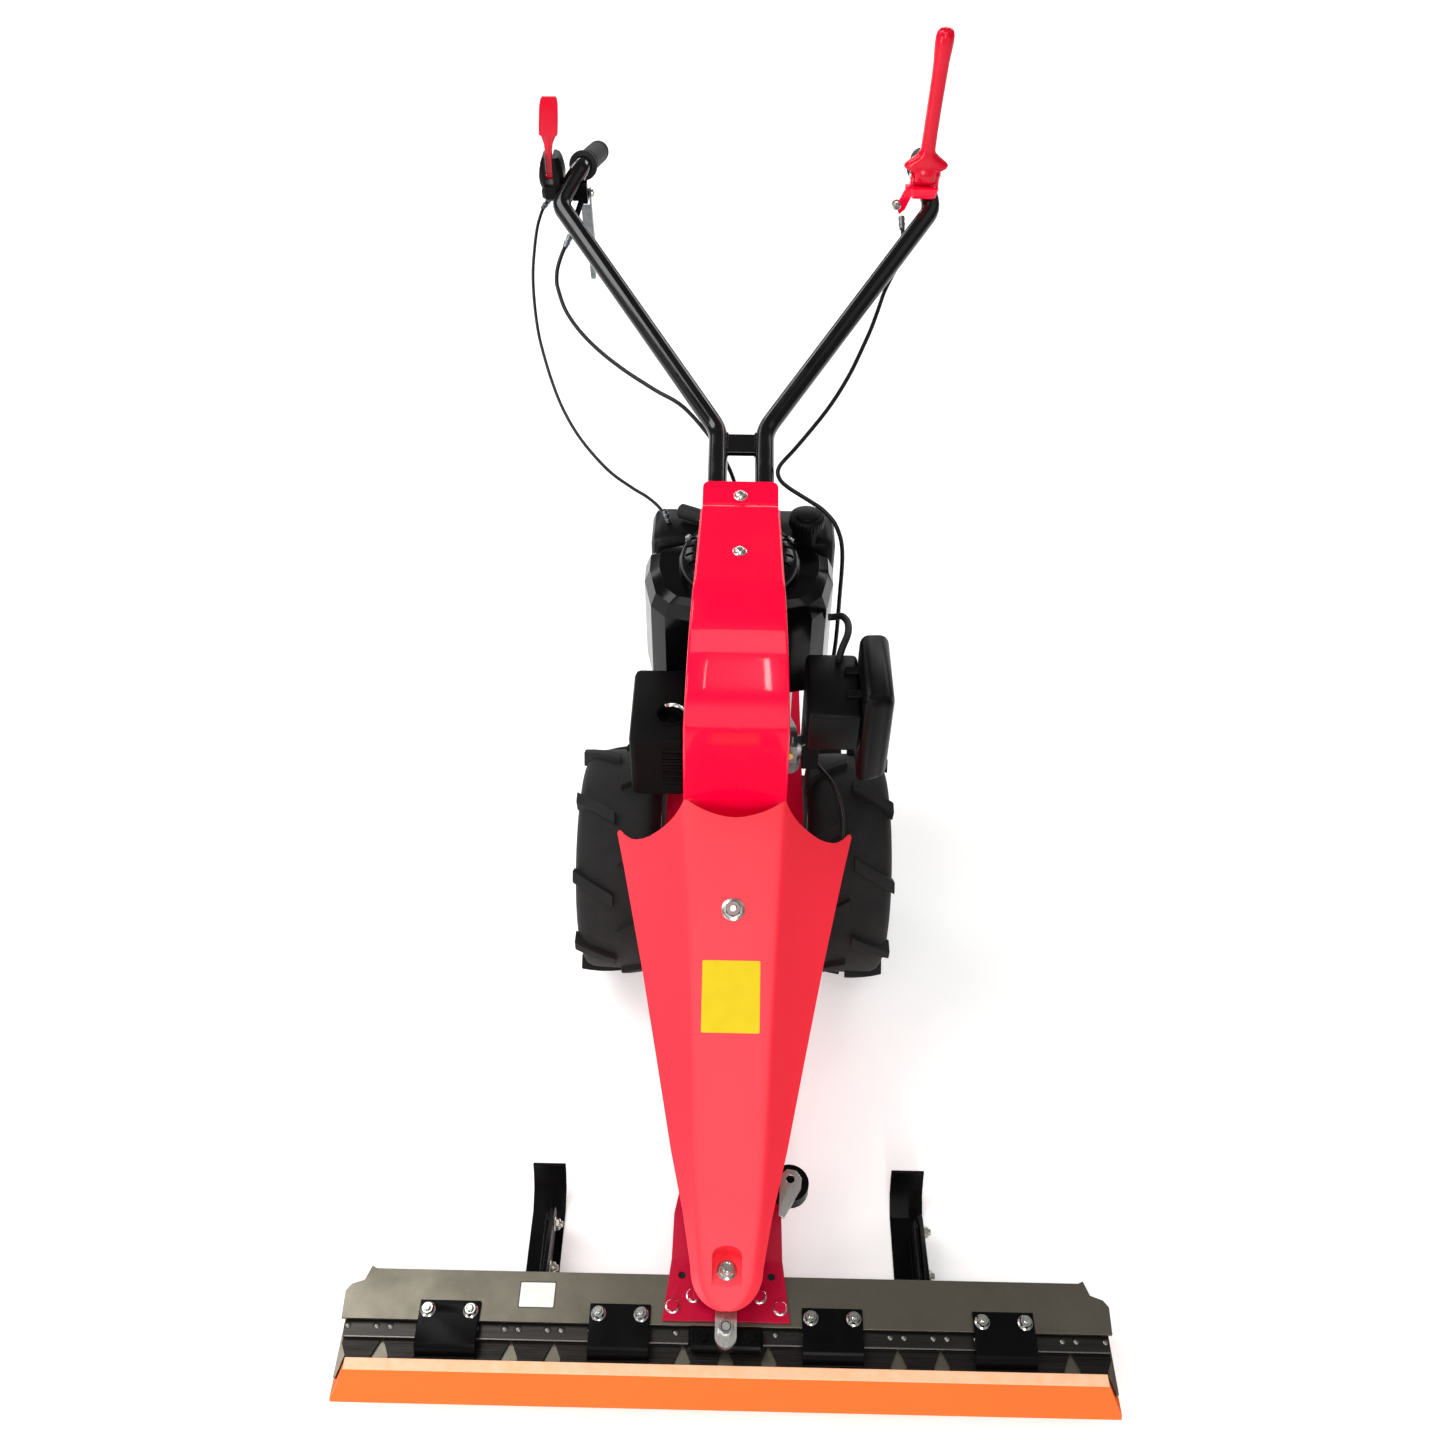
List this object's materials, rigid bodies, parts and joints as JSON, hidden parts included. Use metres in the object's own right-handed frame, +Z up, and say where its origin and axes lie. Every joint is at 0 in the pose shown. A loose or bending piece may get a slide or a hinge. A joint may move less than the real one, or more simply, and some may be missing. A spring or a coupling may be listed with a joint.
{
  "type": "walk-behind mower",
  "caption": "Self-propelled walk-behind mower with a wide reciprocating cutter bar in front, a worm-driven axle, a small engine and spread handles with levers.",
  "frame": {"origin": "middle of the footprint, on the ground", "axes": "-Y is forward, towards the cutter bar; +Y is towards the operator; +X is the side of the air filter; +Z is up"},
  "size_m": [0.909, 1.4728, 1.0958],
  "materials": {
    "red_sheet": "gloss",
    "red_moulding": "satin",
    "black_paint": "gloss",
    "black_moulding": "satin",
    "zinc": "bright zinc",
    "bar_steel": "dull",
    "knife_steel": "dark",
    "aluminium": "as cast",
    "bronze": "satin",
    "tyre": "matt",
    "rubber": "matt",
    "orange_moulding": "gloss"
  },
  "bodies": {
    "machine": {"chassis": "red_sheet", "bar_carrier": "red_sheet", "gear_case_left": "aluminium", "gear_case_right": "aluminium", "engine_block": "aluminium", "cylinder_head": "aluminium", "fan_shroud": "black_moulding", "recoil_housing": "black_moulding", "fuel_tank": "black_moulding", "muffler": "black_paint", "muffler_guard": "black_paint", "air_filter_base": "black_moulding", "air_filter_cover": "black_moulding", "carburettor": "aluminium", "breather_hose": "rubber", "front_cover": "red_moulding", "arch_column": "red_sheet", "handlebar": "black_paint", "grip_left": "rubber", "grip_right": "rubber", "throttle_housing": "black_moulding", "clutch_bracket": "zinc", "knife_lever_bracket": "red_sheet", "throttle_cable": "rubber", "clutch_cable": "rubber", "knife_cable": "rubber", "back_plate": "bar_steel", "finger_bar": "bar_steel", "hold_down_1": "black_paint", "hold_down_2": "black_paint", "hold_down_3": "black_paint", "hold_down_4": "black_paint", "side_bracket": "black_paint", "bracket_lug": "zinc", "knife_belt": "rubber", "drive_belt": "rubber"},
    "wheels": {"axle": "zinc", "worm_wheel": "bronze", "rim_left": "black_paint", "rim_right": "black_paint", "tyre_left": "tyre", "tyre_right": "tyre"},
    "worm": {"worm_shaft": "zinc", "worm_pulley": "aluminium"},
    "crank": {"crankshaft": "zinc", "drive_pulley": "aluminium"},
    "knife_drive": {"knife_pulley": "aluminium"},
    "knife": {"knife": "knife_steel", "knife_head": "black_paint"},
    "rocker": {"rocker_arm": "zinc"},
    "clutch_lever": {"clutch_lever": "zinc"},
    "idler": {"idler_arm": "zinc"},
    "idler_roller": {"idler_roller": "black_moulding"},
    "throttle_lever": {"throttle_lever": "red_moulding"},
    "knife_lever": {"knife_lever": "red_moulding"},
    "transport_guard": {"transport_guard": "orange_moulding"},
    "fuel_cap": {"fuel_cap": "black_moulding"},
    "starter_handle": {"starter_handle": "black_moulding"},
    "skid_left": {"skid_left": "black_paint"},
    "skid_right": {"skid_right": "black_paint"}
  },
  "joints": [
    {"name": "axle_spin", "type": "hinge", "parent": "machine", "child": "wheels", "pos_m": [0, -0.036, 0.165], "axis": [1, 0, 0], "continuous": true},
    {"name": "worm_spin", "type": "hinge", "parent": "machine", "child": "worm", "pos_m": [0, -0.081, 0.19], "axis": [0, 0, 1], "continuous": true},
    {"name": "crank_spin", "type": "hinge", "parent": "machine", "child": "crank", "pos_m": [0, 0.104, 0.3], "axis": [0, 0, 1], "continuous": true},
    {"name": "knife_pulley_spin", "type": "hinge", "parent": "machine", "child": "knife_drive", "pos_m": [0, -0.331, 0.2125], "axis": [0, 0, 1], "continuous": true},
    {"name": "knife_slide", "type": "slide", "parent": "machine", "child": "knife", "axis": [1, 0, 0], "range_m": [-0.025, 0.025]},
    {"name": "rocker_swing", "type": "hinge", "parent": "machine", "child": "rocker", "pos_m": [0, -0.396, 0.15], "axis": [0, 0, 1], "range_deg": [-5.4, 5.4]},
    {"name": "clutch_lever_swing", "type": "hinge", "parent": "machine", "child": "clutch_lever", "pos_m": [-0.2265, 0.604, 0.861], "axis": [1, 0, 0], "range_deg": [0, 55], "stiffness_Nm_per_rad": 0.15, "springref_deg": -22.92},
    {"name": "idler_swing", "type": "hinge", "parent": "machine", "child": "idler", "pos_m": [0.06, 0.164, 0.252], "axis": [0, 0, 1], "range_deg": [-2.7, 0]},
    {"name": "idler_roller_spin", "type": "hinge", "parent": "idler", "child": "idler_roller", "pos_m": [0.06161, 0.044, 0.2365], "axis": [0, 0, 1], "continuous": true},
    {"name": "throttle_swing", "type": "hinge", "parent": "machine", "child": "throttle_lever", "pos_m": [-0.2734, 0.594, 0.8902], "axis": [1, 0, 0], "range_deg": [-30, 30]},
    {"name": "knife_lever_swing", "type": "hinge", "parent": "machine", "child": "knife_lever", "pos_m": [0.2447, 0.567, 0.9085], "axis": [1, 0, 0], "range_deg": [-60, 0], "stiffness_Nm_per_rad": 0.4, "springref_deg": 22.92},
    {"name": "guard_pull", "type": "slide", "parent": "machine", "child": "transport_guard", "axis": [0, -1, 0], "range_m": [0, 0.08]},
    {"name": "fuel_cap_turn", "type": "hinge", "parent": "machine", "child": "fuel_cap", "pos_m": [0.088, 0.176, 0.61], "axis": [0, 0, 1], "range_deg": [0, 90]},
    {"name": "starter_pull", "type": "slide", "parent": "machine", "child": "starter_handle", "axis": [0, 0.8, 0.6], "range_m": [0, 0.1], "stiffness_N_per_m": 5, "springref_m": -0.03},
    {"name": "skid_left_height", "type": "slide", "parent": "machine", "child": "skid_left", "axis": [0, 0, 1], "range_m": [0, 0.015]},
    {"name": "skid_right_height", "type": "slide", "parent": "machine", "child": "skid_right", "axis": [0, 0, 1], "range_m": [0, 0.015]}
  ],
  "couplings": [
    {"joint": "worm_spin", "follows": "axle_spin", "ratio": 20},
    {"joint": "rocker_swing", "follows": "knife_slide", "rad_per_m": 3.7037},
    {"joint": "idler_swing", "follows": "clutch_lever_swing", "ratio": -0.047}
  ]
}
